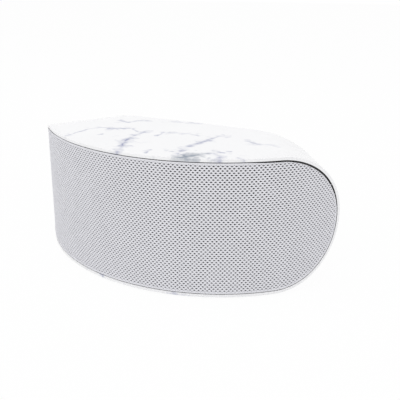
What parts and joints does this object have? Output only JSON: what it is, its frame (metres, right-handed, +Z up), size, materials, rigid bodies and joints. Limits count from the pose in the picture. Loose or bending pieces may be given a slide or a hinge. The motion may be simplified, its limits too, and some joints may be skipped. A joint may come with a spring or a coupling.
{
  "type": "bluetooth speaker",
  "caption": "Portable speaker: a bulging mesh front set in a marble-print, pill-shaped sleeve, with keys, charging socket and line-in jack in a sunk rear panel.",
  "frame": {"origin": "middle of the box around the speaker, on the surface that its feet stand on", "axes": "+Z up, front grille towards -Y, +X to the right as seen from the front"},
  "size_m": [0.2, 0.08, 0.0802],
  "materials": {
    "marble_shell": "glossy white moulding with a printed grey-blue marble vein pattern",
    "black_plastic": "fine-grained black moulding",
    "grille_mesh": "light grey painted mesh",
    "grey_keys": "smooth grey silicone",
    "light_lens": "clear frosted light pipe",
    "plated_steel": "bright plated steel",
    "jack_plastic": "black engineering plastic",
    "board_laminate": "green solder mask over glass laminate",
    "capacitor_can": "sleeved aluminium can",
    "battery_wrap": "shrink-wrapped cell",
    "cradle_plastic": "dark grey moulding",
    "foot_rubber": "soft dark rubber",
    "basket_steel": "black painted pressing",
    "cone_paper": "coated paper",
    "roll_rubber": "butyl rubber",
    "foam": "closed-cell foam",
    "spider_cloth": "resin-set cloth",
    "coil_copper": "enamelled copper winding on a former",
    "motor_steel": "zinc-plated steel",
    "magnet_ferrite": "dark sintered ferrite",
    "radiator_plastic": "black moulding"
  },
  "bodies": {
    "housing": {"amplifier_chip": "jack_plastic", "aux_jack": "jack_plastic", "baffle_screws": "plated_steel", "battery_cell": "battery_wrap", "battery_cradle": "cradle_plastic", "bluetooth_module": "plated_steel", "board_screws": "plated_steel", "capacitors": "capacitor_can", "front_baffle": "black_plastic", "front_feet": "foot_rubber", "front_grille": "grille_mesh", "lead_plugs": "jack_plastic", "left_back_plate": "motor_steel", "left_basket": "basket_steel", "left_driver_screws": "plated_steel", "left_gasket": "foam", "left_magnet": "magnet_ferrite", "left_spider": "spider_cloth", "left_surround": "roll_rubber", "left_top_plate": "motor_steel", "main_board": "board_laminate", "radiator_frame": "radiator_plastic", "radiator_surround": "roll_rubber", "rear_cover": "black_plastic", "rear_cover_screws": "plated_steel", "rear_feet": "foot_rubber", "right_back_plate": "motor_steel", "right_basket": "basket_steel", "right_driver_screws": "plated_steel", "right_gasket": "foam", "right_magnet": "magnet_ferrite", "right_spider": "spider_cloth", "right_surround": "roll_rubber", "right_top_plate": "motor_steel", "sleeve": "marble_shell", "status_light": "light_lens", "tact_switches": "jack_plastic", "usb_socket": "plated_steel"},
    "power_button": {"power_button": "grey_keys"},
    "volume_down_button": {"volume_down_button": "grey_keys"},
    "play_button": {"play_button": "grey_keys"},
    "volume_up_button": {"volume_up_button": "grey_keys"},
    "left_moving_cone": {"left_cone": "cone_paper", "left_dust_cap": "cone_paper", "left_voice_coil": "coil_copper"},
    "right_moving_cone": {"right_cone": "cone_paper", "right_dust_cap": "cone_paper", "right_voice_coil": "coil_copper"},
    "radiator_diaphragm": {"radiator_plate": "radiator_plastic", "radiator_weight": "motor_steel"}
  },
  "joints": [
    {"name": "power_press", "type": "slide", "parent": "housing", "child": "power_button", "axis": [0, -1, 0], "range_m": [0, 0.0006], "stiffness_N_per_m": 900},
    {"name": "volume_down_press", "type": "slide", "parent": "housing", "child": "volume_down_button", "axis": [0, -1, 0], "range_m": [0, 0.0006], "stiffness_N_per_m": 900},
    {"name": "play_press", "type": "slide", "parent": "housing", "child": "play_button", "axis": [0, -1, 0], "range_m": [0, 0.0006], "stiffness_N_per_m": 900},
    {"name": "volume_up_press", "type": "slide", "parent": "housing", "child": "volume_up_button", "axis": [0, -1, 0], "range_m": [0, 0.0006], "stiffness_N_per_m": 900},
    {"name": "left_cone_travel", "type": "slide", "parent": "housing", "child": "left_moving_cone", "axis": [-0.5337, -0.8457, 0], "range_m": [-0.0015, 0.0015], "stiffness_N_per_m": 1500, "deforming": ["left_surround", "left_spider"]},
    {"name": "right_cone_travel", "type": "slide", "parent": "housing", "child": "right_moving_cone", "axis": [0.5337, -0.8457, 0], "range_m": [-0.0015, 0.0015], "stiffness_N_per_m": 1500, "deforming": ["right_surround", "right_spider"]},
    {"name": "radiator_travel", "type": "slide", "parent": "housing", "child": "radiator_diaphragm", "axis": [0, -1, 0], "range_m": [-0.002, 0.002], "stiffness_N_per_m": 1200, "deforming": ["radiator_surround"]}
  ]
}
